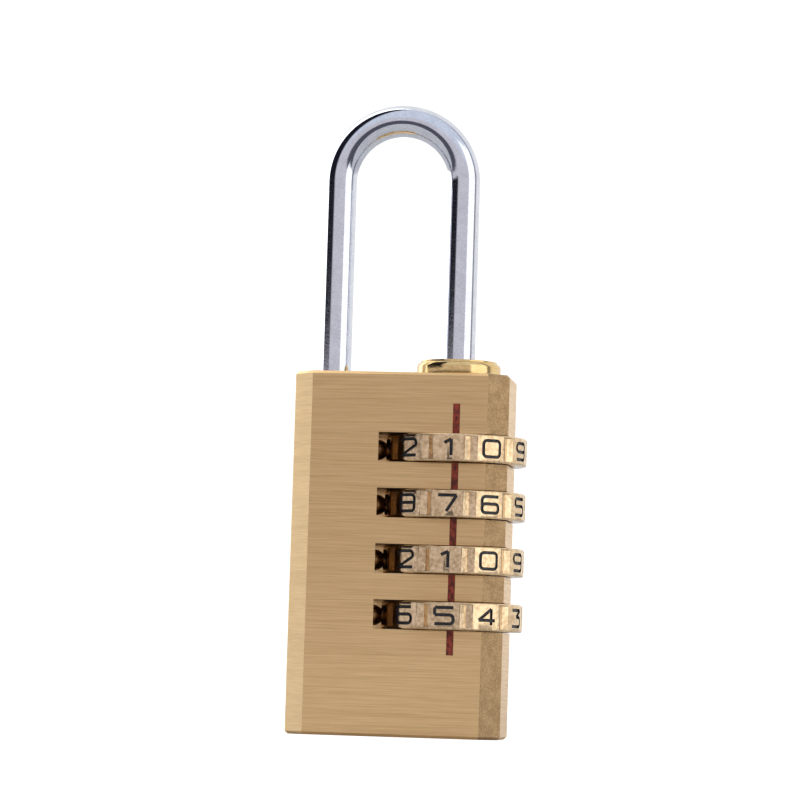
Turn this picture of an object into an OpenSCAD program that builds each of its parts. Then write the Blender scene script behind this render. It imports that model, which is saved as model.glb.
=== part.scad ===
// Four-wheel combination padlock, brass body with a steel shackle.
// Units are millimetres. The origin is the middle of the base, +Z is up, and the numbers face -Y.

/* [Body] */
// Width of the body across the front
body_w = 26.8; // [24:0.2:34]
// Thickness of the body from front to back
body_t = 13.5; // [12.6:0.1:16.2]
// Height of the body above the middle of the top number wheel
head_room = 9.35; // [8:0.05:20]
// How far each upright corner flat reaches across the front
corner_w = 2.45; // [1:0.05:3]
// How far each upright corner flat reaches towards the back
corner_t = 2.05; // [1:0.05:3]
// Small break along the top and bottom edges
edge_break = 0.35; // [0.2:0.05:0.6]

/* [Shackle] */
// Diameter of the shackle rod
rod_d = 4; // [3.2:0.1:4.8]
// Clear width between the two legs
leg_gap = 11.65; // [9.5:0.05:14]
// Height of the top of the bow above the body
shackle_rise = 34.3; // [28:0.1:60]
// Distance from the right side of the body to the axis of the heel leg and the wheels
heel_inset = 6.9; // [6.4:0.1:7.4]
// How far the shackle rises when it is released
shackle_lift = 5.8; // [5:0.1:6]
// How deep the toe leg sits in the body
toe_depth = 5; // [4:0.1:5.5]

/* [Number wheels] */
// Diameter of a number wheel over its pads
wheel_d = 17.6; // [16.8:0.1:18.6]
// Height of a number wheel
wheel_h = 3.45; // [2.9:0.05:3.8]
// Distance from one number wheel to the next
wheel_pitch = 6.9; // [6.6:0.01:8.4]
// Height of the middle of the lowest number wheel
first_wheel_z = 15.05; // [14.5:0.05:17.5]
// Width of a groove between two pads
groove_w = 1.6; // [1.2:0.1:2.2]
// Slope of a groove's sides in degrees
groove_slope = 30; // [20:1:40]
// Band that is left above and below each groove
wheel_rim = 0.28; // [0.1:0.02:0.5]
// Height of an engraved number
digit_h = 2.4; // [1.6:0.1:2.6]
// Width of an engraved number
digit_w = 2.7; // [1.2:0.1:3]
// Width of an engraved stroke
stroke_w = 0.38; // [0.2:0.02:0.46]
// Depth of an engraved stroke
stroke_depth = 0.25; // [0.1:0.05:0.4]

/* [Clutch sleeves] */
// Outer diameter of the clutch sleeves and of the bore that holds them
sleeve_d = 9; // [8.4:0.1:10.8]
// Thickness of the web that blocks a fin
web_t = 1.3; // [1:0.1:1.6]
// Height of a fin on the heel spindle
fin_h = 2.2; // [1.6:0.1:2.6]
// Width of a fin
fin_w = 1.2; // [0.8:0.1:1.6]
// Diameter of the heel spindle between the fins
spindle_d = 2.4; // [2:0.1:2.6]

/* [Detents] */
// Diameter of a detent pin
pin_d = 2.6; // [2.2:0.1:2.8]
// Length of a detent pin with its round nose
pin_l = 4.5; // [4:0.1:5]
// Length of a detent spring as fitted
detent_spring_l = 2.9; // [2:0.1:3.5]

/* [Collar and trim] */
// How far the collar's flange reaches past its spigot
collar_lip = 0.725; // [0.5:0.025:1.2]
// Height of the collar's flange above the body
collar_h = 1.9; // [1.2:0.1:2.6]
// Width of the painted index line
line_w = 0.87; // [0.6:0.01:1.2]
// Distance of the index line to the right of the wheel axis
line_shift = 0.6; // [0:0.1:1]
// Depth of the groove for the index line
line_depth = 0.3; // [0.15:0.05:0.5]

/* [Fits] */
// Radial clearance of a shaft or sleeve that turns or slides
running_gap = 0.05; // [0.02:0.01:0.1]
// Radial clearance of the toe leg in its hole
toe_gap = 0.1; // [0.05:0.01:0.2]
// Clearance above and below a number wheel in its slot
slot_gap = 0.1; // [0.05:0.01:0.2]
// Clearance between two stacked pieces
stack_gap = 0.1; // [0.05:0.01:0.2]
// Radial clearance of a piece that is pressed in
press_gap = 0.01; // [0:0.005:0.02]

/* [Hidden] */
$fn = 64;
over = 1; // how far a cutter runs past a face

// wheels, counted from the top
wheel_count = 4;
pads = 10;
pad_step = 360 / pads;
opening_code = [1, 7, 1, 5];
function wheel_z(n) = first_wheel_z + (wheel_count - n) * wheel_pitch;
wheel_r = wheel_d / 2;
groove_depth = groove_w / 2 * tan(groove_slope);
slot_h = wheel_h + 2 * slot_gap;
wheel_to_wall = 2.45; // room for the detent pins between a wheel and its slot
slot_r = wheel_r + wheel_to_wall;
rim_chamfer = 0.15;

// sleeves and the bore they turn in
sleeve_r = sleeve_d / 2;
bore_r = sleeve_r + running_gap;
sleeve_h = wheel_pitch - stack_gap;
stack_bottom = first_wheel_z - wheel_pitch / 2;
stack_top = stack_bottom + wheel_count * wheel_pitch;
sleeve_notch = 0.4;
notch_w = 0.9;
tooth_w = notch_w - 4 * running_gap;

// body and shackle
body_h = wheel_z(1) + head_room;
heel_x = body_w / 2 - heel_inset;
rod_r = rod_d / 2;
bow_r = (leg_gap + rod_d) / 2;
toe_x = heel_x - 2 * bow_r;
bow_z = body_h + shackle_rise - rod_r - bow_r;
toe_room = 1.4; // air under the toe
spindle_r = spindle_d / 2;
chamber_r = rod_r + 0.4;
shoulder_z = stack_top + 0.25;
fin_gap = 0.35; // between a fin and the web above it
tip_chamfer = 0.5;

// washers, stop ring and heel spring under and over the sleeves
washer_t = 0.5;
washer_top_t = 0.4;
washer_bottom_z = stack_bottom - washer_t;
spigot_z = stack_top + washer_top_t + stack_gap;
ring_t = 0.6;
ring_r = 2.6;
ring_seat_r = 0.85;
ring_z = washer_bottom_z - shackle_lift - ring_t - 0.02;
spring_room = 2.5; // height of the heel spring as fitted
well_z = ring_z - spring_room;
well_r = 3.3;
spring_r = 2.45;
spring_wire = 0.4;
spindle_end_z = ring_z - 1.2;

// detents
pin_r = pin_d / 2;
seat_r = wheel_r - groove_depth + pin_r / cos(groove_slope) - pin_r + 0.02;
pin_tip_x = heel_x - seat_r;
pin_bore_r = pin_r + running_gap;
pin_back_x = pin_tip_x - pin_l;
detent_wire = 0.3;

module upright_outline() {
    x = body_w / 2;
    y = body_t / 2;
    polygon([
        [x - corner_w, -y], [x, -y + corner_t], [x, y - corner_t], [x - corner_w, y],
        [-x + corner_w, y], [-x, y - corner_t], [-x, -y + corner_t], [-x + corner_w, -y]]);
}

// a rectangle from the base to the top with its four corners broken
module broken_rectangle(width) {
    x = width / 2;
    b = edge_break;
    polygon([[-x + b, 0], [x - b, 0], [x, b], [x, body_h - b],
        [x - b, body_h], [-x + b, body_h], [-x, body_h - b], [-x, b]]);
}

module body_blank() {
    intersection() {
        linear_extrude(body_h) upright_outline();
        rotate([90, 0, 0]) linear_extrude(body_t + 2 * over, center = true) broken_rectangle(body_w);
        rotate([90, 0, 90]) linear_extrude(body_w + 2 * over, center = true) broken_rectangle(body_t);
    }
}

module wheel_slots() {
    for (n = [1 : wheel_count])
        translate([heel_x, 0, wheel_z(n) - slot_h / 2]) cylinder(r = slot_r, h = slot_h);
}

module line_strip(depth) {
    bottom = first_wheel_z - slot_h / 2 - 3;
    top = wheel_z(1) + slot_h / 2 + 3.7;
    translate([heel_x + line_shift - line_w / 2, -body_t / 2, bottom]) cube([line_w, depth, top - bottom]);
}

module body() {
    color("darkkhaki") difference() {
        body_blank();
        wheel_slots();
        // bore for the sleeves, with the well for the heel spring below it
        translate([heel_x, 0, washer_bottom_z]) cylinder(r = bore_r, h = body_h);
        translate([heel_x, 0, well_z]) cylinder(r = well_r, h = body_h);
        // hole for the toe leg
        translate([toe_x, 0, body_h - toe_depth - toe_room]) cylinder(r = rod_r + toe_gap, h = body_h);
        // blind bores for the detent pins, drilled in through the slots
        for (n = [1 : wheel_count])
            translate([heel_x, 0, wheel_z(n)]) rotate([0, -90, 0])
                cylinder(r = pin_bore_r, h = heel_x - pin_back_x + detent_spring_l);
        // groove for the index line
        translate([0, -over, 0]) line_strip(line_depth + over);
    }
}

module index_line() {
    sunk = 0.08; // the paint lies a little below the face
    color("firebrick") difference() {
        translate([0, sunk, 0]) line_strip(line_depth - sunk);
        wheel_slots();
    }
}

module collar() {
    flange_r = bore_r + collar_lip;
    edge = 0.3;
    foot = 0.15;
    color("gold") translate([heel_x, 0, 0]) rotate_extrude() polygon([
        [rod_r + running_gap, spigot_z],
        [bore_r - press_gap, spigot_z],
        [bore_r - press_gap, body_h],
        [flange_r - foot, body_h],
        [flange_r, body_h + foot],
        [flange_r, body_h + collar_h - edge],
        [flange_r - edge, body_h + collar_h],
        [rod_r + running_gap + edge, body_h + collar_h],
        [rod_r + running_gap, body_h + collar_h - edge]]);
}

module spindle_fin(n) {
    top = wheel_z(n) + wheel_pitch / 2 - stack_gap / 2 - web_t - fin_gap;
    translate([0, 0, top - fin_h]) intersection() {
        cylinder(r = rod_r, h = fin_h);
        translate([-fin_w / 2, -rod_r - over, 0]) cube([fin_w, rod_r + over, fin_h]);
    }
}

module shackle() {
    color("lightsteelblue") {
        translate([heel_x - bow_r, 0, bow_z]) rotate([90, 0, 0])
            rotate_extrude(angle = 180) translate([bow_r, 0]) circle(r = rod_r);
        // toe leg
        translate([toe_x, 0, 0]) rotate_extrude() polygon([
            [0, body_h - toe_depth],
            [rod_r - tip_chamfer, body_h - toe_depth],
            [rod_r, body_h - toe_depth + tip_chamfer],
            [rod_r, bow_z], [0, bow_z]]);
        // heel leg and its spindle, with a groove for the stop ring
        translate([heel_x, 0, 0]) rotate_extrude() polygon([
            [0, spindle_end_z],
            [spindle_r, spindle_end_z],
            [spindle_r, ring_z],
            [ring_seat_r, ring_z],
            [ring_seat_r, ring_z + ring_t],
            [spindle_r, ring_z + ring_t],
            [spindle_r, shoulder_z],
            [rod_r, shoulder_z],
            [rod_r, bow_z], [0, bow_z]]);
        for (n = [1 : wheel_count]) translate([heel_x, 0, 0]) spindle_fin(n);
    }
}

module stop_ring() {
    color("dimgray") translate([heel_x, 0, ring_z]) difference() {
        cylinder(r = ring_r, h = ring_t);
        translate([0, 0, -over]) cylinder(r = ring_seat_r + press_gap, h = ring_t + 2 * over);
        translate([0, -ring_seat_r * 0.8, -over]) cube([ring_r + over, ring_seat_r * 1.6, ring_t + 2 * over]);
    }
}

// flat ring between two heights
module washer(inner_r, outer_r, z, thickness) {
    translate([heel_x, 0, z]) difference() {
        cylinder(r = outer_r, h = thickness);
        translate([0, 0, -over]) cylinder(r = inner_r, h = thickness + 2 * over);
    }
}

module sleeve_washer() {
    color("silver") washer(spindle_r + 0.3, sleeve_r, washer_bottom_z, washer_t);
}

module spring_washer() {
    split = 0.6;
    color("slategray") difference() {
        washer(rod_r + 0.3, sleeve_r - 0.3, stack_top, washer_top_t);
        translate([heel_x, -split / 2, stack_top - over]) cube([sleeve_r, split, washer_top_t + 2 * over]);
    }
}

// wire wound round Z from z = 0 to the given height
module coil(mean_r, wire_d, height, turns, sides, steps) {
    wire_r = wire_d / 2;
    count = turns * steps;
    rise = (height - wire_d) / count;
    points = [for (i = [0 : count], j = [0 : sides - 1])
        let (turn = 360 * i / steps, around = 360 * j / sides, reach = mean_r + wire_r * cos(around))
        [reach * cos(turn), reach * sin(turn), wire_r + rise * i + wire_r * sin(around)]];
    walls = [for (i = [0 : count - 1], j = [0 : sides - 1])
        let (a = i * sides + j, b = i * sides + (j + 1) % sides)
        each [[a, a + sides, b], [b, a + sides, b + sides]]];
    start_cap = [for (j = [0 : sides - 1]) j];
    end_cap = [for (j = [sides - 1 : -1 : 0]) count * sides + j];
    polyhedron(points, concat(walls, [start_cap, end_cap]));
}

module heel_spring() {
    color("gray") translate([heel_x, 0, well_z + 0.02])
        coil(spring_r, spring_wire, spring_room - 0.04, 5, 6, 20);
}

// one engraved stroke from a to b, on a plane where X is across and Y is up the wheel
module stroke(a, b) {
    run = b - a;
    translate(a) rotate(atan2(run.y, run.x))
        translate([-stroke_w / 2, -stroke_w / 2]) square([norm(run) + stroke_w, stroke_w]);
}

// each number as lines through points on a grid 2 wide and 4 high
function digit_lines(n) =
    n == 0 ? [[[0, 0], [2, 0], [2, 4], [0, 4], [0, 0]]] :
    n == 1 ? [[[0.5, 3.3], [1.35, 4], [1.35, 0]]] :
    n == 2 ? [[[0, 3.2], [0.4, 4], [2, 4], [2, 2.6], [0, 0.6], [0, 0], [2, 0]]] :
    n == 3 ? [[[0, 4], [2, 4], [2, 0], [0, 0]], [[0.6, 2.1], [2, 2.1]]] :
    n == 4 ? [[[1.5, 0], [1.5, 4], [0, 1.2], [2, 1.2]]] :
    n == 5 ? [[[2, 4], [0, 4], [0, 2.3], [2, 2.3], [2, 0], [0, 0]]] :
    n == 6 ? [[[2, 4], [0, 4], [0, 0], [2, 0], [2, 2.2], [0, 2.2]]] :
    n == 7 ? [[[0, 4], [2, 4], [0.8, 0]]] :
    n == 8 ? [[[0, 0], [2, 0], [2, 4], [0, 4], [0, 0]], [[0, 2.1], [2, 2.1]]] :
    [[[0, 0], [2, 0], [2, 4], [0, 4], [0, 1.9], [2, 1.9]]];

module digit(n) {
    scale_x = (digit_w - stroke_w) / 2;
    scale_y = (digit_h - stroke_w) / 4;
    for (path = digit_lines(n), i = [0 : len(path) - 2])
        stroke([(path[i].x - 1) * scale_x, (path[i].y - 2) * scale_y],
            [(path[i + 1].x - 1) * scale_x, (path[i + 1].y - 2) * scale_y]);
}

module number_wheel(n) {
    bore = sleeve_r + 1.6 * running_gap;
    color("khaki") translate([heel_x, 0, wheel_z(n)]) {
        difference() {
            rotate_extrude() polygon([
                [bore, -wheel_h / 2],
                [wheel_r - rim_chamfer, -wheel_h / 2],
                [wheel_r, -wheel_h / 2 + rim_chamfer],
                [wheel_r, wheel_h / 2 - rim_chamfer],
                [wheel_r - rim_chamfer, wheel_h / 2],
                [bore, wheel_h / 2]]);
            // grooves between the pads
            for (i = [0 : pads - 1])
                rotate(90 + (i + 0.5) * pad_step) translate([0, 0, -wheel_h / 2 + wheel_rim])
                    linear_extrude(wheel_h - 2 * wheel_rim) polygon([
                        [wheel_r - groove_depth, 0],
                        [wheel_r + groove_depth, groove_w],
                        [wheel_r + groove_depth, -groove_w]]);
            // numbers fall towards +X, and the opening number faces -Y
            for (i = [0 : pads - 1])
                rotate((opening_code[n - 1] - i) * pad_step) translate([0, -wheel_r + stroke_depth, 0])
                    rotate([90, 0, 0]) linear_extrude(stroke_depth + over) digit(i);
        }
        // two teeth that drive the sleeve
        for (side = [0, 180])
            rotate(side) translate([sleeve_r - sleeve_notch + 2 * running_gap, -tooth_w / 2, -wheel_h / 2 + wheel_rim])
                cube([sleeve_notch + 4 * running_gap, tooth_w, wheel_h - 2 * wheel_rim]);
    }
}

module clutch_sleeve(n) {
    bottom = wheel_z(n) - sleeve_h / 2;
    web_z = bottom + sleeve_h - web_t;
    color("tan") difference() {
        translate([heel_x, 0, bottom]) cylinder(r = sleeve_r, h = sleeve_h);
        translate([heel_x, 0, bottom - over]) cylinder(r = chamber_r, h = sleeve_h - web_t + over);
        translate([heel_x, 0, web_z - over]) cylinder(r = spindle_r + 2 * running_gap, h = web_t + 2 * over);
        // gate that lets the fin through at the opening number
        translate([heel_x - fin_w / 2 - 2 * running_gap, -rod_r - 2 * running_gap, web_z - over])
            cube([fin_w + 4 * running_gap, rod_r + 2 * running_gap, web_t + 2 * over]);
        // notches for the teeth of the wheel
        for (i = [0 : pads - 1])
            translate([heel_x, 0, wheel_z(n) - wheel_h / 2 - stack_gap]) rotate(i * pad_step)
                translate([sleeve_r - sleeve_notch, -notch_w / 2, 0])
                    cube([sleeve_notch + over, notch_w, wheel_h + 2 * stack_gap]);
    }
}

module detent_pin(n) {
    color("silver") translate([pin_tip_x, 0, wheel_z(n)]) rotate([0, -90, 0]) {
        translate([0, 0, pin_r]) intersection() {
            sphere(r = pin_r);
            translate([-pin_d, -pin_d, -pin_d]) cube([2 * pin_d, 2 * pin_d, pin_d]);
        }
        translate([0, 0, pin_r]) cylinder(r = pin_r, h = pin_l - pin_r);
    }
}

module detent_spring(n) {
    color("gray") translate([pin_back_x - 0.02, 0, wheel_z(n)]) rotate([0, -90, 0])
        coil(pin_r - 0.3, detent_wire, detent_spring_l - 0.04, 5, 6, 12);
}

body();
index_line();
collar();
shackle();
stop_ring();
heel_spring();
sleeve_washer();
spring_washer();
number_wheel(1);  // number_wheel_1
number_wheel(2);  // number_wheel_2
number_wheel(3);  // number_wheel_3
number_wheel(4);  // number_wheel_4
clutch_sleeve(1);  // clutch_sleeve_1
clutch_sleeve(2);  // clutch_sleeve_2
clutch_sleeve(3);  // clutch_sleeve_3
clutch_sleeve(4);  // clutch_sleeve_4
detent_pin(1);  // detent_pin_1
detent_pin(2);  // detent_pin_2
detent_pin(3);  // detent_pin_3
detent_pin(4);  // detent_pin_4
detent_spring(1);  // detent_spring_1
detent_spring(2);  // detent_spring_2
detent_spring(3);  // detent_spring_3
detent_spring(4);  // detent_spring_4
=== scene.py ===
import math
import bmesh
import bpy
from mathutils import Matrix, Vector


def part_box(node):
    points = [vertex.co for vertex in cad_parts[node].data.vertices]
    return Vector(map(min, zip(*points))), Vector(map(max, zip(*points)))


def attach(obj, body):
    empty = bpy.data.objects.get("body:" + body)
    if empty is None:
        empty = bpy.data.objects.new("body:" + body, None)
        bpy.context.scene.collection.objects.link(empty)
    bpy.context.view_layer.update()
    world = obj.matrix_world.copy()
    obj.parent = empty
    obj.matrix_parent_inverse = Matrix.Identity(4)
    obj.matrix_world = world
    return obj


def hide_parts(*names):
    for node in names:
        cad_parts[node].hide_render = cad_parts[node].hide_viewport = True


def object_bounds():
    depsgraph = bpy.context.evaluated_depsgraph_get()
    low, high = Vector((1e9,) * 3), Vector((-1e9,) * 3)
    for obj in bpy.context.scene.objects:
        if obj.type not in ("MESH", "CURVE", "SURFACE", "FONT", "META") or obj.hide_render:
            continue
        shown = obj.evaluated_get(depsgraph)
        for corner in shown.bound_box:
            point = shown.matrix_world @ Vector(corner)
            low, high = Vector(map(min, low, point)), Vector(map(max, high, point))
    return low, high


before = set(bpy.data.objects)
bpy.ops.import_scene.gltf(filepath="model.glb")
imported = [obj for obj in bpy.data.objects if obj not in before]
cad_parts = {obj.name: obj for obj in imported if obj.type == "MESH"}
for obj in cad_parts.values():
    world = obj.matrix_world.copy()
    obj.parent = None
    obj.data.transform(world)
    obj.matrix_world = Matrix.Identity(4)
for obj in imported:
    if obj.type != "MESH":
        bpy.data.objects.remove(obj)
cadLow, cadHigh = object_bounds()
mm = 0.001  # the script's own unit, in metres
print("frame loaded, height", round((cadHigh.z - cadLow.z) / mm, 2), "mm")

# places that every piece shares, from the frame
bodyLow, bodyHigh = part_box("body")
topWheelLow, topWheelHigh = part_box("number_wheel_1")
collarLow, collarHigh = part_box("collar")
shackleLow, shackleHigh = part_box("shackle")
axisX = (topWheelLow.x + topWheelHigh.x) / 2  # the heel leg, the collar and the wheels share this axis
wheelRadius = (topWheelHigh.x - topWheelLow.x) / 2
wheelHeight = topWheelHigh.z - topWheelLow.z
wheelNumbers = range(1, 5)  # from the top down


def wheelMiddle(number):
    low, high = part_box(f"number_wheel_{number}")
    return (low.z + high.z) / 2


cameraSet = {
    "azimuth": 7.19,     # degrees to the right of square on
    "elevation": -4.4,   # looking up a little
    "roll": 1.77,
    "distance": 454.5,   # mm from the padlock
    "aside": 0.47,       # mm, in the camera's own directions
    "above": 41.97,
    "lens": 163.98,
    "sensor": 36,
    "nearest": 0.01,     # metres
}


def makeCamera(values):
    data = bpy.data.cameras.new("productCamera")
    data.lens = values["lens"]
    data.sensor_width = values["sensor"]
    data.clip_start = values["nearest"]
    camera = bpy.data.objects.new("productCamera", data)
    turn = (Matrix.Rotation(math.radians(values["azimuth"]), 4, "Z")
            @ Matrix.Rotation(math.radians(90 - values["elevation"]), 4, "X")
            @ Matrix.Rotation(math.radians(values["roll"]), 4, "Z"))
    place = Vector((values["aside"], values["above"], values["distance"])) * mm
    camera.matrix_world = turn @ Matrix.Translation(place)
    bpy.context.scene.collection.objects.link(camera)
    bpy.context.scene.camera = camera


makeCamera(cameraSet)


class Wire:
    # one socket's output, which takes part in sums

    def __init__(self, board, socket):
        self.board = board
        self.socket = socket

    def maths(self, operation, *terms):
        return self.board.node("ShaderNodeMath", {"operation": operation}, dict(enumerate(terms)))

    def __add__(self, other):
        return self.maths("ADD", self, other)

    def __radd__(self, other):
        return self.maths("ADD", other, self)

    def __sub__(self, other):
        return self.maths("SUBTRACT", self, other)

    def __rsub__(self, other):
        return self.maths("SUBTRACT", other, self)

    def __mul__(self, other):
        return self.maths("MULTIPLY", self, other)

    def __rmul__(self, other):
        return self.maths("MULTIPLY", other, self)

    def between(self, low, high):
        # 0 below low, 1 above high and smooth between them
        return self.board.node("ShaderNodeMapRange", {"interpolation_type": "SMOOTHSTEP"},
                               {"Value": self, "From Min": low, "From Max": high})

    def within(self, start, full, fall, end):
        # rises from start to full, and falls again from fall to end
        return self.between(start, full) * (1 - self.between(fall, end))


class Board:
    # the node tree of one material or of the world

    def __init__(self, tree):
        self.tree = tree
        tree.nodes.clear()

    def node(self, kind, settings=None, sockets=None, out=0):
        made = self.tree.nodes.new(kind)
        for name, value in (settings or {}).items():
            setattr(made, name, value)
        for name, value in (sockets or {}).items():
            if isinstance(value, Wire):
                self.tree.links.new(value.socket, made.inputs[name])
            else:
                made.inputs[name].default_value = value
        return Wire(self, made.outputs[out]) if made.outputs else None

    def grain(self, size, detail=3.0, rough=0.55, shift=0.0):
        # noise whose grains are size = (x, y, z) millimetres
        place = self.node("ShaderNodeTexCoord", out="Object")
        stretched = self.node("ShaderNodeMapping", None, {
            "Vector": place, "Location": (shift, shift, shift),
            "Scale": tuple(1 / (mm * s) for s in size)})
        return self.node("ShaderNodeTexNoise", None, {
            "Vector": stretched, "Scale": 1.0, "Detail": detail, "Roughness": rough}, "Fac")

    def blend(self, share, first, second):
        # colour between first and second; a Mix node's colour sockets are numbers 6 and 7
        return self.node("ShaderNodeMix", {"data_type": "RGBA"}, {0: share, 6: first, 7: second}, 2)


# how every metal mixes its fine grain with a wider one
grainSet = {
    "fineShare": 0.65,
    "wideScale": 6,        # times the fine grain, where a metal has no wide grain of its own
    "wideDetail": 2.0,
    "wideRough": 0.5,
    "wideShift": 3.7,
    "tone": (0.3, 0.7),    # where the darkest and the lightest colour are reached
    "paintDetail": 4.0,
    "paintRough": 0.65,
    "paintTone": (0.38, 0.64),
}

# colours from dark to light, grain and relief in millimetres, spread is how much the roughness varies
metalSet = {
    "brushedBrass": {
        "dark": (0.68, 0.445, 0.205), "light": (0.90, 0.62, 0.315), "grain": (5.0, 5.0, 0.055),
        "wide": (16.0, 16.0, 0.2), "roughness": 0.34, "spread": 0.10, "relief": 0.003},
    "satinBrass": {
        "dark": (0.74, 0.53, 0.285), "light": (0.88, 0.64, 0.36), "grain": (2.5, 2.5, 0.12),
        "roughness": 0.38, "spread": 0.10, "relief": 0.003},
    # the right corner flats: a real speckled grain and roughness, with a darker colour that is painted
    # shade on that side
    "grainedBrassPaintedShade": {
        "dark": (0.40, 0.255, 0.125), "light": (0.58, 0.40, 0.215), "grain": (0.2, 0.2, 0.2),
        "roughness": 0.58, "spread": 0.12, "relief": 0.008},
    # the faces cut for slots, bores and the line's groove: a milled grain, with a darker colour that is
    # painted shade in these recesses
    "milledBrassPaintedShade": {
        "dark": (0.45, 0.29, 0.14), "light": (0.66, 0.45, 0.24), "grain": (0.5, 0.5, 0.08),
        "roughness": 0.36, "spread": 0.15, "relief": 0.006},
    "wheelBrass": {
        "dark": (0.56, 0.39, 0.22), "light": (0.88, 0.67, 0.42), "grain": (0.45, 0.45, 0.45),
        "wide": (1.3, 1.3, 1.3), "roughness": 0.14, "spread": 0.12, "relief": 0.009},
    "collarBrass": {
        "dark": (0.70, 0.48, 0.20), "light": (0.84, 0.62, 0.30), "grain": (0.6, 0.6, 0.2),
        "roughness": 0.12, "spread": 0.08, "relief": 0.006},
    "sleeveBrass": {
        "dark": (0.55, 0.38, 0.20), "light": (0.72, 0.52, 0.30), "grain": (0.4, 0.4, 0.1),
        "roughness": 0.30, "spread": 0.12, "relief": 0.004},
    "shackleChrome": {
        "dark": (0.60, 0.62, 0.68), "light": (0.76, 0.78, 0.84), "grain": (0.25, 0.25, 0.25),
        "roughness": 0.08, "spread": 0.05, "relief": 0.0025},
    # the detent pins are steel; their brown colour is a painted reflection of the brass slot walls around
    # them
    "pinSteelPaintedReflection": {
        "dark": (0.26, 0.15, 0.07), "light": (0.50, 0.31, 0.15), "grain": (0.3, 0.3, 0.3),
        "roughness": 0.34, "spread": 0.15, "relief": 0.004},
    "springWire": {
        "dark": (0.30, 0.30, 0.31), "light": (0.50, 0.50, 0.52), "grain": (0.15, 0.15, 0.15),
        "roughness": 0.28, "spread": 0.12, "relief": 0.003},
}

enamelSet = {
    "redEnamel": {
        "dark": (0.100, 0.012, 0.005), "light": (0.36, 0.040, 0.012), "grain": (0.4, 0.4, 0.6),
        "roughness": 0.55, "spread": 0.20, "relief": 0.03},
    "blackEnamel": {
        "dark": (0.006, 0.006, 0.008), "light": (0.028, 0.026, 0.028), "grain": (0.3, 0.3, 0.3),
        "roughness": 0.38, "spread": 0.25, "relief": 0.02},
}


def finish(name, values, pattern, metallic):
    # pattern(board) gives the noise that makes the relief, and the mark that makes colour and gloss
    material = bpy.data.materials.new(name)
    material.use_nodes = True
    board = Board(material.node_tree)
    height, mark = pattern(board)
    colour = board.blend(mark, (*values["dark"], 1), (*values["light"], 1))
    gloss = values["roughness"] + values["spread"] * (0.5 - mark)
    bump = board.node("ShaderNodeBump", None, {
        "Height": height, "Strength": 1.0, "Distance": values["relief"] * mm})
    shader = board.node("ShaderNodeBsdfPrincipled", None, {
        "Base Color": colour, "Metallic": metallic, "Roughness": gloss, "Normal": bump})
    board.node("ShaderNodeOutputMaterial", None, {"Surface": shader})
    return material


def metal(name, values):
    # a worn metal: colour, gloss and relief all follow the same grain
    def pattern(board):
        wideSize = values.get("wide") or tuple(grainSet["wideScale"] * s for s in values["grain"])
        fine = board.grain(values["grain"])
        wide = board.grain(wideSize, grainSet["wideDetail"], grainSet["wideRough"], grainSet["wideShift"])
        mixed = fine * grainSet["fineShare"] + wide * (1 - grainSet["fineShare"])
        return fine, mixed.between(*grainSet["tone"])

    return finish(name, values, pattern, 1.0)


def enamel(name, values):
    # paint that has settled unevenly in its groove
    def pattern(board):
        blotch = board.grain(values["grain"], grainSet["paintDetail"], grainSet["paintRough"])
        return blotch, blotch.between(*grainSet["paintTone"])

    return finish(name, values, pattern, 0.0)


finishes = {name: metal(name, values) for name, values in metalSet.items()}
finishes.update({name: enamel(name, values) for name, values in enamelSet.items()})
print("finishes written:", len(bpy.data.materials))


def asObject(bm, name, materials=()):
    data = bpy.data.meshes.new(name)
    bmesh.ops.recalc_face_normals(bm, faces=bm.faces[:])
    bm.to_mesh(data)
    bm.free()
    made = bpy.data.objects.new(name, data)
    bpy.context.scene.collection.objects.link(made)
    for material in materials:
        data.materials.append(material)
    return made


def settle(made):
    # the modifiers' result becomes the mesh
    bpy.context.view_layer.update()
    shape = made.evaluated_get(bpy.context.evaluated_depsgraph_get())
    data = bpy.data.meshes.new_from_object(shape)
    old = made.data
    made.modifiers.clear()
    made.data = data
    bpy.data.meshes.remove(old)
    return made


def cutAway(made, cutter):
    # the cutter's own material stays on the faces that it cuts
    change = made.modifiers.new("cut", "BOOLEAN")
    change.object = cutter
    change.operation = "DIFFERENCE"
    change.solver = "EXACT"
    change.material_mode = "TRANSFER"
    settle(made)
    bpy.data.objects.remove(cutter)
    return made


def softenEdges(made, width, segments=2, angle=28):
    change = made.modifiers.new("edges", "BEVEL")
    change.width = width * mm
    change.segments = segments
    change.limit_method = "ANGLE"
    change.angle_limit = math.radians(angle)
    change.use_clamp_overlap = True
    return settle(made)


def shadeSmooth(made, angle=30):
    # normals follow the larger faces, so that the soft edges don't shade the flat ones
    made.data.shade_smooth()
    made.data.set_sharp_from_angle(angle=math.radians(angle))
    change = made.modifiers.new("shading", "WEIGHTED_NORMAL")
    change.mode = "FACE_AREA"
    change.weight = 100
    change.keep_sharp = True
    return settle(made)


mergeWithin = 1e-7  # metres, closes the seam and the poles of a turned piece


def turned(name, profile, middle, steps, materials):
    # a closed profile of (radius, height) millimetres spun about an upright axis
    bm = bmesh.new()
    points = [bm.verts.new((radius * mm, 0, height * mm)) for radius, height in profile]
    edges = [bm.edges.new((points[i - 1], points[i])) for i in range(len(points))]
    bmesh.ops.spin(bm, geom=points + edges, cent=(0, 0, 0), axis=(0, 0, 1), angle=math.tau,
                   steps=steps, use_merge=True)
    bmesh.ops.remove_doubles(bm, verts=bm.verts[:], dist=mergeWithin)
    bmesh.ops.translate(bm, verts=bm.verts[:], vec=middle)
    return asObject(bm, name, materials)


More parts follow.
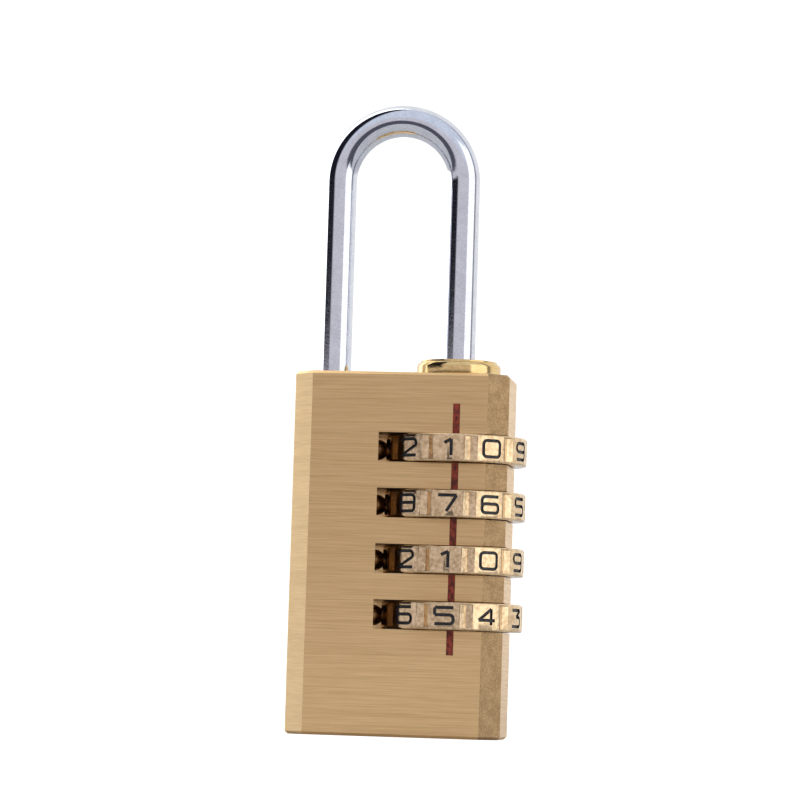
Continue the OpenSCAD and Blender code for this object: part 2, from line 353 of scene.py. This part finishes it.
def rod(radius, length, start, direction, material, steps):
    # a cutter: a cylinder of that radius and length in millimetres, from start, a place in metres
    bm = bmesh.new()
    bmesh.ops.create_cone(bm, cap_ends=True, segments=steps, radius1=radius * mm, radius2=radius * mm,
                          depth=length * mm)
    bmesh.ops.translate(bm, verts=bm.verts[:], vec=(0, 0, length * mm / 2))
    turn = Vector((0, 0, 1)).rotation_difference(Vector(direction)).to_matrix().to_4x4()
    bmesh.ops.transform(bm, matrix=Matrix.Translation(start) @ turn, verts=bm.verts[:])
    return asObject(bm, "cutter", [material])


def block(low, high, material, name="cutter"):
    # a box between two corners, in metres
    bm = bmesh.new()
    bmesh.ops.create_cube(bm, size=1)
    size = Vector(high) - Vector(low)
    bmesh.ops.scale(bm, verts=bm.verts[:], vec=size)
    bmesh.ops.translate(bm, verts=bm.verts[:], vec=Vector(low) + size / 2)
    return asObject(bm, name, [material])


def finishPiece(made, body, slot, *nodes):
    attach(made, body)
    if nodes:
        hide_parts(*nodes)
    return made


bodySet = {
    "cornerAcross": 2.45,  # corner flat across the front, mm
    "cornerBack": 2.05,
    "flatFacing": 0.2,     # least share of a corner flat's normal that points aside, and forward or back
    "edgeBreak": 0.35,
    "slotRoom": 0.1,       # above and below a wheel
    "wallRoom": 2.45,      # between a wheel and its slot
    "boreRadius": 4.55,
    "boreFloor": 11.1,     # height above the base
    "wellRadius": 3.3,
    "wellFloor": 2.18,
    "toeGap": 0.1,
    "toeFloor": 6.4,       # below the top of the body
    "pinBore": 1.35,
    "pinBoreEnd": -9.46,   # from the middle of the body, to the left
    "softEdge": 0.07,
    "slotSteps": 160,      # faces around each cut
    "boreSteps": 96,
    "wellSteps": 64,
    "toeSteps": 64,
    "pinSteps": 48,
    "smoothUnder": 60,     # degrees
}
lineLow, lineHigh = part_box("index_line")
rodRadius = (shackleHigh.y - shackleLow.y) / 2
toeX = shackleLow.x + rodRadius


def makeBody(values):
    x, y = bodyHigh.x, bodyHigh.y
    # the cut faces take a darker brass: painted shade inside the slots, bores and groove
    milledShade = finishes["milledBrassPaintedShade"]
    across, back = values["cornerAcross"] * mm, values["cornerBack"] * mm
    bm = bmesh.new()
    outline = [bm.verts.new((px, py, bodyLow.z)) for px, py in (
        (x - across, -y), (x, -y + back), (x, y - back), (x - across, y),
        (-x + across, y), (-x, y - back), (-x, -y + back), (-x + across, -y))]
    base = bm.faces.new(outline)
    top = bmesh.ops.extrude_face_region(bm, geom=[base])
    moved = [v for v in top["geom"] if isinstance(v, bmesh.types.BMVert)]
    bmesh.ops.translate(bm, verts=moved, vec=(0, 0, bodyHigh.z - bodyLow.z))
    ring = [e for e in bm.edges if e.verts[0].co.z == e.verts[1].co.z]  # the level edges
    bmesh.ops.bevel(bm, geom=ring, offset=values["edgeBreak"] * mm, affect="EDGES", segments=1,
                    profile=0.5, material=-1, clamp_overlap=True)
    bmesh.ops.recalc_face_normals(bm, faces=bm.faces[:])
    for face in bm.faces:
        # a corner flat faces both aside and forward or back: satin on the left, grained on the right,
        # where the darker colour is painted shade on that side
        n = face.normal
        if min(abs(n.x), abs(n.y)) > values["flatFacing"]:
            face.material_index = 2 if n.x > 0 else 1
    made = asObject(bm, "brassBody", [
        finishes["brushedBrass"], finishes["satinBrass"], finishes["grainedBrassPaintedShade"], milledShade])
    slotRadius = wheelRadius / mm + values["wallRoom"]
    slotHeight = wheelHeight / mm + 2 * values["slotRoom"]
    pinReach = axisX / mm - values["pinBoreEnd"]
    for number in wheelNumbers:
        z = wheelMiddle(number)
        cutAway(made, rod(slotRadius, slotHeight, (axisX, 0, z - slotHeight * mm / 2), (0, 0, 1),
                          milledShade, values["slotSteps"]))
        cutAway(made, rod(values["pinBore"], pinReach, (axisX, 0, z), (-1, 0, 0),
                          milledShade, values["pinSteps"]))
    uprightBores = (  # radius in millimetres, place and floor in metres, faces
        (values["boreRadius"], axisX, values["boreFloor"] * mm, values["boreSteps"]),
        (values["wellRadius"], axisX, values["wellFloor"] * mm, values["wellSteps"]),
        (rodRadius / mm + values["toeGap"], toeX, bodyHigh.z - values["toeFloor"] * mm,
         values["toeSteps"]))
    for radius, place, floor, steps in uprightBores:
        cutAway(made, rod(radius, bodyHigh.z / mm, (place, 0, floor), (0, 0, 1), milledShade, steps))
    cutAway(made, block((lineLow.x, -y - mm, lineLow.z), lineHigh, milledShade))
    softenEdges(made, values["softEdge"])
    shadeSmooth(made, values["smoothUnder"])
    return finishPiece(made, "case", "body_brass", "body")


makeBody(bodySet)
print("body cut")


wheelSet = {
    "pads": 10,
    "bore": 4.6,
    "grooveWidth": 1.6,
    "grooveSlope": 30,     # degrees
    "rim": 0.28,           # band above and below a groove
    "chamfer": 0.15,       # on the outer edges
    "steps": 180,
    "digitWide": 2.7,
    "digitHigh": 2.4,
    "stroke": 0.4,
    "strokeDepth": 0.25,
    "bend": 1.1,           # how far a number's corner is rounded, in strokes
    "bendSteps": 3,
    "stampHigh": 1.0,      # height of the cutter that engraves a stroke
    "softEdge": 0.05,
    "smoothUnder": 35,     # degrees
    "openingCode": (1, 7, 1, 5),
}

# each number as lines on a grid 2 wide and 4 high; a closed line repeats its first point
digitLines = {
    0: [[(0, 0), (2, 0), (2, 4), (0, 4), (0, 0)]],
    1: [[(0.5, 3.1), (1.25, 4)], [(1.25, 4), (1.25, 0)]],
    2: [[(0, 3.0), (0, 4), (2, 4), (2, 2.4)], [(2, 2.5), (0, 0)], [(0, 0), (2, 0)]],
    3: [[(0, 4), (2, 4)], [(2, 4), (0.9, 2.3)], [(0.9, 2.3), (2, 2.3), (2, 0), (0, 0)]],
    4: [[(1.5, 0), (1.5, 4)], [(1.5, 4), (0, 1.2)], [(0, 1.2), (2, 1.2)]],
    5: [[(2, 4), (0, 4)], [(0, 4), (0, 2.2)], [(0, 2.2), (2, 2.2), (2, 0), (0, 0)]],
    6: [[(0, 0), (2, 0), (2, 2.2), (0, 2.2), (0, 0)], [(0, 1.8), (0, 4), (2, 4)]],
    7: [[(0, 4), (2, 4)], [(2, 4), (0.9, 0)]],
    8: [[(0, 0), (2, 0), (2, 4), (0, 4), (0, 0)], [(0, 2.1), (2, 2.1)]],
    9: [[(0, 1.9), (2, 1.9), (2, 4), (0, 4), (0, 1.9)], [(2, 2.3), (2, 0), (0, 0)]],
}


def strokeCutter(line, values):
    # a wall along one line of a number, thickened to the stroke, standing across the wheel's surface
    scaleX = (values["digitWide"] - values["stroke"]) / 2 * mm
    scaleZ = (values["digitHigh"] - values["stroke"]) / 4 * mm
    bm = bmesh.new()
    closed = line[0] == line[-1]
    spots = line[:-1] if closed else line
    verts = [bm.verts.new(((px - 1) * scaleX, 0, (pz - 2) * scaleZ)) for px, pz in spots]
    for i in range(len(verts) - (0 if closed else 1)):
        bm.edges.new((verts[i], verts[(i + 1) % len(verts)]))
    inner = [v for v in bm.verts if len(v.link_edges) == 2]
    bmesh.ops.bevel(bm, geom=inner, offset=values["stroke"] * values["bend"] * mm, affect="VERTICES",
                    segments=values["bendSteps"], profile=0.5, material=-1, clamp_overlap=True)
    walls = bmesh.ops.extrude_edge_only(bm, edges=bm.edges[:])
    far = [v for v in walls["geom"] if isinstance(v, bmesh.types.BMVert)]
    bmesh.ops.translate(bm, verts=far, vec=(0, -values["stampHigh"] * mm, 0))
    bmesh.ops.translate(bm, verts=bm.verts[:], vec=(0, -wheelRadius + values["strokeDepth"] * mm, 0))
    made = asObject(bm, "digit", [finishes["blackEnamel"]])
    thick = made.modifiers.new("stroke", "SOLIDIFY")
    thick.thickness = values["stroke"] * mm
    thick.offset = 0
    thick.use_even_offset = True
    return settle(made)


def grooveCutter(values):
    # a V-shaped bar, as long as the wheel without its two rims
    deep = values["grooveWidth"] / 2 * math.tan(math.radians(values["grooveSlope"])) * mm
    half = (wheelHeight / mm / 2 - values["rim"]) * mm
    bm = bmesh.new()
    corner = [bm.verts.new(p) for p in (
        (0, -wheelRadius + deep, -half),
        (values["grooveWidth"] * mm, -wheelRadius - deep, -half),
        (-values["grooveWidth"] * mm, -wheelRadius - deep, -half))]
    face = bm.faces.new(corner)
    grown = bmesh.ops.extrude_face_region(bm, geom=[face])
    bmesh.ops.translate(bm, verts=[v for v in grown["geom"] if isinstance(v, bmesh.types.BMVert)],
                        vec=(0, 0, 2 * half))
    return asObject(bm, "groove", [finishes["wheelBrass"]])


def around(made, angle):
    # the same mesh turned about the wheel's axis
    data = made.data.copy()
    data.transform(Matrix.Rotation(angle, 4, "Z"))
    copy = bpy.data.objects.new(made.name, data)
    bpy.context.scene.collection.objects.link(copy)
    return copy


def joined(parts, name):
    bm = bmesh.new()
    for part in parts:
        bm.from_mesh(part.data)
    materials = list(parts[0].data.materials)
    for part in parts:
        bpy.data.objects.remove(part)
    return asObject(bm, name, materials)


def makeWheelBlank(values):
    r, h = wheelRadius / mm, wheelHeight / mm / 2
    chamfer = values["chamfer"]
    profile = [(values["bore"], -h), (r - chamfer, -h), (r, -h + chamfer), (r, h - chamfer),
               (r - chamfer, h), (values["bore"], h)]
    blank = turned("wheelBlank", profile, (0, 0, 0), values["steps"],
                   [finishes["wheelBrass"], finishes["blackEnamel"]])
    step = math.tau / values["pads"]
    groove = grooveCutter(values)
    grooves = [around(groove, (i + 0.5) * step) for i in range(values["pads"])]
    bpy.data.objects.remove(groove)
    cutAway(blank, joined(grooves, "grooves"))
    softenEdges(blank, values["softEdge"])
    for digit in range(values["pads"]):  # with digit 0 facing the front, the numbers fall towards +X
        for line in digitLines[digit]:
            stamp = strokeCutter(line, values)
            cutAway(blank, around(stamp, -digit * step))
            bpy.data.objects.remove(stamp)
    shadeSmooth(blank, values["smoothUnder"])
    return blank


def makeWheels(values):
    blank = makeWheelBlank(values)
    step = math.tau / values["pads"]
    for number, facing in enumerate(values["openingCode"], 1):
        data = blank.data.copy()
        place = Matrix.Translation((axisX, 0, wheelMiddle(number)))
        data.transform(place @ Matrix.Rotation(facing * step, 4, "Z"))
        made = bpy.data.objects.new(f"numberWheel{number}", data)
        bpy.context.scene.collection.objects.link(made)
        finishPiece(made, f"dial_{number}", "wheel_brass", f"number_wheel_{number}")
    bpy.data.objects.remove(blank)


makeWheels(wheelSet)
print("number wheels engraved")


shackleSet = {
    "sides": 64,
    "bowSteps": 96,
    "toeDepth": 5,         # below the top of the body
    "tip": 0.5,            # chamfer on the toe
    "spindle": 2.4,        # diameter under the shoulder
    "shoulder": 39.45,     # height above the base
    "ringSeat": 1.7,       # diameter of the stop ring's groove
    "finWide": 1.2,
    "finHigh": 2.2,
    "webThick": 1.3,
    "finGap": 0.35,
    "stackGap": 0.1,
    "spindleSteps": 48,
    "sunk": 0.5,           # how far the spindle runs up into the rod
    "smoothUnder": 30,     # degrees
}
ringLow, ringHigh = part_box("stop_ring")


def makeShackle(values):
    radius = rodRadius
    bowRadius = (axisX - toeX) / 2
    bowZ = shackleHigh.z - radius - bowRadius
    bm = bmesh.new()
    circle = bmesh.ops.create_circle(bm, segments=values["sides"], radius=radius)
    bmesh.ops.translate(bm, verts=circle["verts"], vec=(axisX, 0, values["shoulder"] * mm))

    def grow(ring, vec):
        more = bmesh.ops.extrude_edge_only(bm, edges=ring)
        verts = [v for v in more["geom"] if isinstance(v, bmesh.types.BMVert)]
        bmesh.ops.translate(bm, verts=verts, vec=vec)
        return [e for e in more["geom"] if isinstance(e, bmesh.types.BMEdge)], verts

    ring, verts = grow(bm.edges[:], (0, 0, bowZ - values["shoulder"] * mm))
    bow = bmesh.ops.spin(bm, geom=ring + verts, cent=((axisX + toeX) / 2, 0, bowZ), axis=(0, -1, 0),
                         angle=math.pi, steps=values["bowSteps"], use_merge=False)
    ring = [e for e in bow["geom_last"] if isinstance(e, bmesh.types.BMEdge)]
    tipZ = bodyHigh.z - values["toeDepth"] * mm
    ring, verts = grow(ring, (0, 0, tipZ + values["tip"] * mm - bowZ))
    ring, verts = grow(ring, (0, 0, -values["tip"] * mm))
    share = 1 - values["tip"] * mm / radius
    bmesh.ops.scale(bm, verts=verts, vec=(share, share, 1), space=Matrix.Translation((-toeX, 0, -tipZ)))
    bmesh.ops.holes_fill(bm, edges=[e for e in bm.edges if e.is_boundary], sides=0)
    made = asObject(bm, "chromeShackle", [finishes["shackleChrome"]])
    r, seat = values["spindle"] / 2, values["ringSeat"] / 2
    low, a, b = shackleLow.z / mm, ringLow.z / mm, ringHigh.z / mm
    top = values["shoulder"] + values["sunk"]
    profile = [(0, low), (r, low), (r, a), (seat, a), (seat, b), (r, b), (r, top), (0, top)]
    spindle = turned("spindle", profile, (axisX, 0, 0), values["spindleSteps"],
                     [finishes["shackleChrome"]])
    parts = [made, spindle]
    pitch = wheelMiddle(1) - wheelMiddle(2)
    half = values["finWide"] / 2 * mm
    reach = math.sqrt(radius ** 2 - half ** 2)  # a fin's corners stay inside the rod's outline
    drop = values["stackGap"] / 2 + values["webThick"] + values["finGap"]
    for number in wheelNumbers:
        top = wheelMiddle(number) + pitch / 2 - drop * mm
        parts.append(block((axisX - half, -reach, top - values["finHigh"] * mm),
                           (axisX + half, 0, top), finishes["shackleChrome"], "fin"))
    whole = joined(parts, "chromeShackle")
    shadeSmooth(whole, values["smoothUnder"])
    return finishPiece(whole, "shackle_rod", "shackle_chrome", "shackle")


makeShackle(shackleSet)
print("shackle bent")


collarSet = {
    "boreGap": 0.05,
    "spigot": 4.54,        # radius inside the body
    "foot": 0.15,
    "shoulder": 0.45,      # the flange rounds in under its top rim
    "rim": 0.25,
    "steps": 128,
    "softEdge": 0.09,
    "softSteps": 3,
    "softAngle": 20,       # degrees
    "smoothUnder": 40,
}


def makeCollar(values):
    flange = (collarHigh.x - collarLow.x) / 2 / mm
    inner = rodRadius / mm + values["boreGap"]
    low, seat, top = collarLow.z / mm, bodyHigh.z / mm, collarHigh.z / mm
    foot, shoulder, rim = values["foot"], values["shoulder"], values["rim"]
    profile = [(inner, low), (values["spigot"], low), (values["spigot"], seat), (flange - foot, seat),
               (flange, seat + foot), (flange, top - rim - shoulder),
               (flange - shoulder / 3, top - rim - shoulder / 4),  # middle of the rounding
               (flange - shoulder, top - rim), (flange - shoulder, top),
               (inner + rim, top), (inner, top - rim)]
    made = turned("turnedCollar", profile, (axisX, 0, 0), values["steps"],
                  [finishes["collarBrass"]])
    softenEdges(made, values["softEdge"], values["softSteps"], values["softAngle"])
    shadeSmooth(made, values["smoothUnder"])
    return finishPiece(made, "case", "collar_brass", "collar")


makeCollar(collarSet)
print("collar turned")


pinSet = {"steps": 48, "noseSteps": 8, "tailChamfer": 0.2, "smoothUnder": 40}


def makePin(number, values):
    low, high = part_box(f"detent_pin_{number}")
    r = (high.y - low.y) / 2 / mm
    length = (high.x - low.x) / mm
    chamfer = values["tailChamfer"]
    turns = [t * math.pi / 2 / values["noseSteps"] for t in range(values["noseSteps"] + 1)]
    nose = [(r * math.cos(turn), length - r + r * math.sin(turn)) for turn in turns]
    profile = [(0, 0), (r - chamfer, 0), (r, chamfer)] + nose
    # the pin's brown colour is a painted reflection of the brass walls around it
    made = turned(f"detentPin{number}", profile, (0, 0, 0), values["steps"], [finishes["pinSteelPaintedReflection"]])
    place = Matrix.Translation((low.x, 0, (low.z + high.z) / 2))
    made.data.transform(place @ Matrix.Rotation(math.pi / 2, 4, "Y"))
    shadeSmooth(made, values["smoothUnder"])
    return finishPiece(made, f"click_{number}", "pin_steel", f"detent_pin_{number}")


for number in wheelNumbers:
    makePin(number, pinSet)


def dress(node, material):
    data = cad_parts[node].data
    data.materials.clear()
    data.materials.append(material)


dress("index_line", finishes["redEnamel"])
for node in ["heel_spring", "spring_washer", "stop_ring"] + [f"detent_spring_{i}" for i in wheelNumbers]:
    dress(node, finishes["springWire"])
for node in ["sleeve_washer"] + [f"clutch_sleeve_{i}" for i in wheelNumbers]:
    dress(node, finishes["sleeveBrass"])
print("small parts placed")


studioSet = {
    "white": (1.0, 1.0, 1.0),
    "haze": (0.72, 0.69, 0.74),      # the room near the horizon, in front
    "dusk": (0.10, 0.10, 0.13),      # the dark room in front of the table and below its height
    "sky": (0.78, 0.83, 0.94),       # overhead diffuser
    "backdrop": (1.2, 1.2, 1.2),     # behind the padlock, as the camera sees it
    "boxLevel": (1.5, 1.5, 1.5),     # front right softbox
    "sideLevel": (2.4, 2.4, 2.4),    # rear left softbox
    "flagColour": (0.012, 0.012, 0.02),  # black flags, left and right
    "rightFlagColour": (0.05, 0.05, 0.07),
    "rightFlagShare": 0.6,
    # azimuths in degrees, 0 towards the camera and + to its right: where each starts, is full, fades
    # and ends
    "boxAside": (30, 34, 80, 84),
    "sideAside": (-150, -135, -102, -96),
    "flagAside": (-103, -97, -54, -42),
    "rightFlagAside": (80, 86, 92, 98),
    "whiteFrom": (92, 106),          # the white surround, on both sides
    # heights in degrees above level
    "boxUp": (-10, -4, 34, 44),
    "flagUp": (4.2, 5.2),
    "hazeUp": (-4, 1),
    "skyUp": (12, 32),
    "tableSize": 4.0,                # metres
    "tableFront": 0.16,              # metres of table in front of the padlock
    "floorColour": 0.55,
    "floorSeen": 0.85,               # the table's glow as the camera sees it, and as the metal does
    "floorMirrored": 0.10,
    "floorRough": 0.9,
}


def makeWorld(values):
    world = bpy.data.worlds.new("studio")
    bpy.context.scene.world = world
    world.use_nodes = True
    board = Board(world.node_tree)
    ray = board.node("ShaderNodeTexCoord", out="Generated")
    turnBack = board.node("ShaderNodeVectorRotate", {"rotation_type": "Z_AXIS"}, {
        "Vector": ray, "Angle": -math.radians(cameraSet["azimuth"])})
    split = board.node("ShaderNodeSeparateXYZ", None, {"Vector": turnBack})
    x, y, z = (Wire(board, socket) for socket in split.socket.node.outputs)
    aside = x.maths("ARCTAN2", x, 0 - y) * (180 / math.pi)
    upward = z.maths("ARCSINE", z) * (180 / math.pi)
    # what each layer covers, and its colour; a layer lies over the ones before it
    layers = (
        (upward.between(*values["skyUp"]), values["sky"]),
        (aside.maths("ABSOLUTE", aside).between(*values["whiteFrom"]), values["white"]),
        (aside.within(*values["sideAside"]), values["sideLevel"]),
        (aside.within(*values["flagAside"]) * upward.between(*values["flagUp"]), values["flagColour"]),
        (aside.within(*values["rightFlagAside"]) * values["rightFlagShare"], values["rightFlagColour"]),
        (aside.within(*values["boxAside"]) * upward.within(*values["boxUp"]), values["boxLevel"]),
        (board.node("ShaderNodeLightPath", out="Is Camera Ray"), values["backdrop"]))
    colour = board.blend(upward.between(*values["hazeUp"]), (*values["dusk"], 1), (*values["haze"], 1))
    for share, tint in layers:
        colour = board.blend(share, colour, (*tint, 1))
    light = board.node("ShaderNodeBackground", None, {"Color": colour, "Strength": 1.0})
    board.node("ShaderNodeOutputWorld", None, {"Surface": light})


def makeFloor(values):
    bm = bmesh.new()
    bmesh.ops.create_grid(bm, x_segments=1, y_segments=1, size=values["tableSize"] / 2)
    floor = asObject(bm, "floor")
    middle = values["tableSize"] / 2 - values["tableFront"]
    floor.data.transform(Matrix.Translation((0, middle, cadLow.z)))
    material = bpy.data.materials.new("paleTable")
    material.use_nodes = True
    board = Board(material.node_tree)
    seen = board.node("ShaderNodeLightPath", out="Is Camera Ray")
    glow = board.blend(seen, (values["floorMirrored"],) * 3 + (1,), (values["floorSeen"],) * 3 + (1,))
    shader = board.node("ShaderNodeBsdfPrincipled", None, {
        "Base Color": (values["floorColour"],) * 3 + (1,), "Roughness": values["floorRough"],
        "Emission Color": glow, "Emission Strength": 1.0})
    board.node("ShaderNodeOutputMaterial", None, {"Surface": shader})
    floor.data.materials.append(material)


makeWorld(studioSet)
makeFloor(studioSet)
bpy.context.scene.view_settings.view_transform = "Standard"
print("studio lit")
